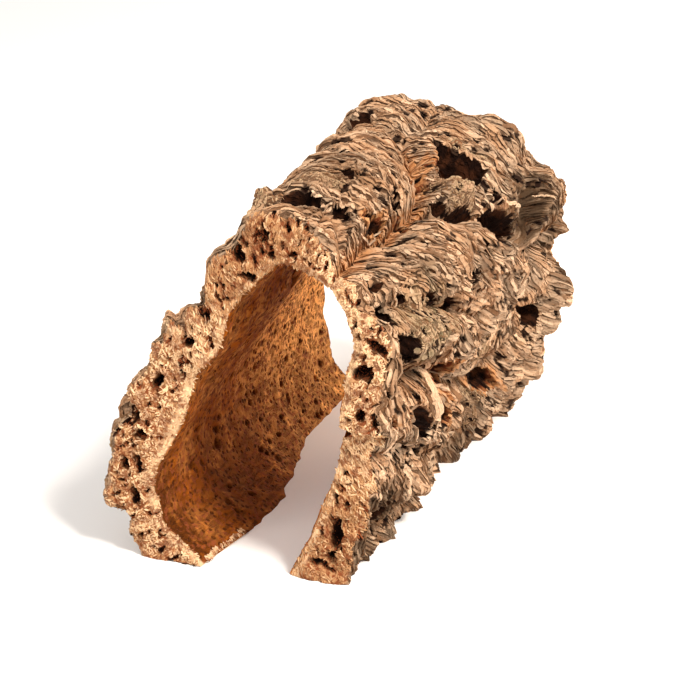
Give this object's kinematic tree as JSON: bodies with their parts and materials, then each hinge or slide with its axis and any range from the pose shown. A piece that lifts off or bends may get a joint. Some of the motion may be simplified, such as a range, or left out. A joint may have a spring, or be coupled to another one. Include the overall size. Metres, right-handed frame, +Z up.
{
  "type": "cork branch",
  "caption": "Hollow cork branch: one curled piece of rough bark, open along its underside, that stands on its two long edges as a tunnel.",
  "frame": {"origin": "on the surface it stands on, under the middle of its bounding box", "axes": "+Y along the hollow from the torn front end to the back end, +Z up out of the bark's top, +X to the right seen from the front"},
  "size_m": [0.1528, 0.2198, 0.1536],
  "materials": {
    "cork": "dry rough cork bark, matt"
  },
  "bodies": {
    "root": {"cork_branch": "cork"}
  },
  "joints": []
}
